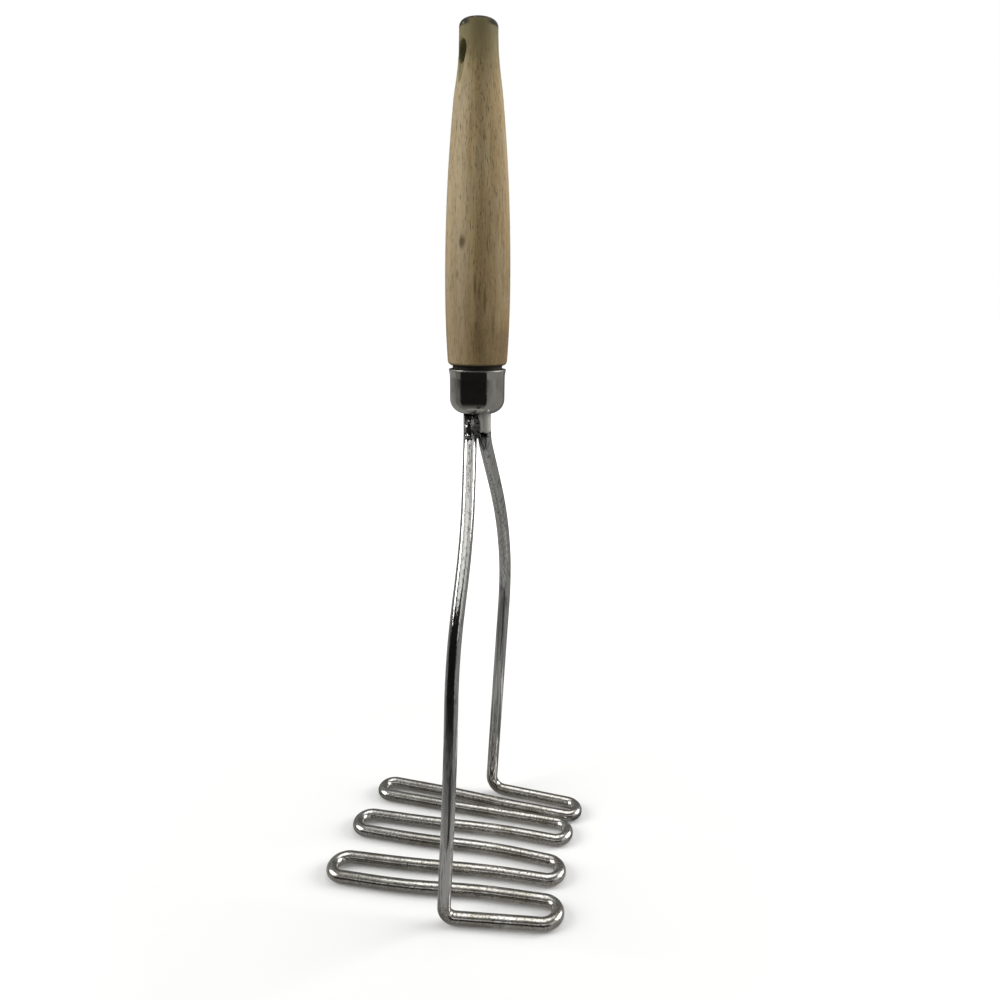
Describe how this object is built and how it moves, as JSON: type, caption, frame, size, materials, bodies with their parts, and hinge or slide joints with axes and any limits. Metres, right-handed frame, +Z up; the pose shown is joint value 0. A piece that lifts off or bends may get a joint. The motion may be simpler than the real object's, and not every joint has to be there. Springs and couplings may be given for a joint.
{
  "type": "potato masher",
  "caption": "Hand potato masher: a hand-bent steel wire head with rows and hairpin turns, two splayed wire legs, a steel ferrule and a turned wooden handle with a hang hole.",
  "frame": {"origin": "middle of the outline's box at the table, under the mashing face", "axes": "+Z up along the handle, the rows run along X, the front leg is at -Y"},
  "size_m": [0.0968, 0.0846, 0.3114],
  "materials": {
    "wood": "satin, worn and greyed",
    "ferrule_steel": "polished, dulled",
    "wire_steel": "bright plated, worn on the rows",
    "weld_steel": "rough, plated over"
  },
  "bodies": {
    "root": {"handle": "wood", "ferrule": "ferrule_steel", "mashing_wire": "wire_steel", "neck_weld": "weld_steel"}
  },
  "joints": []
}
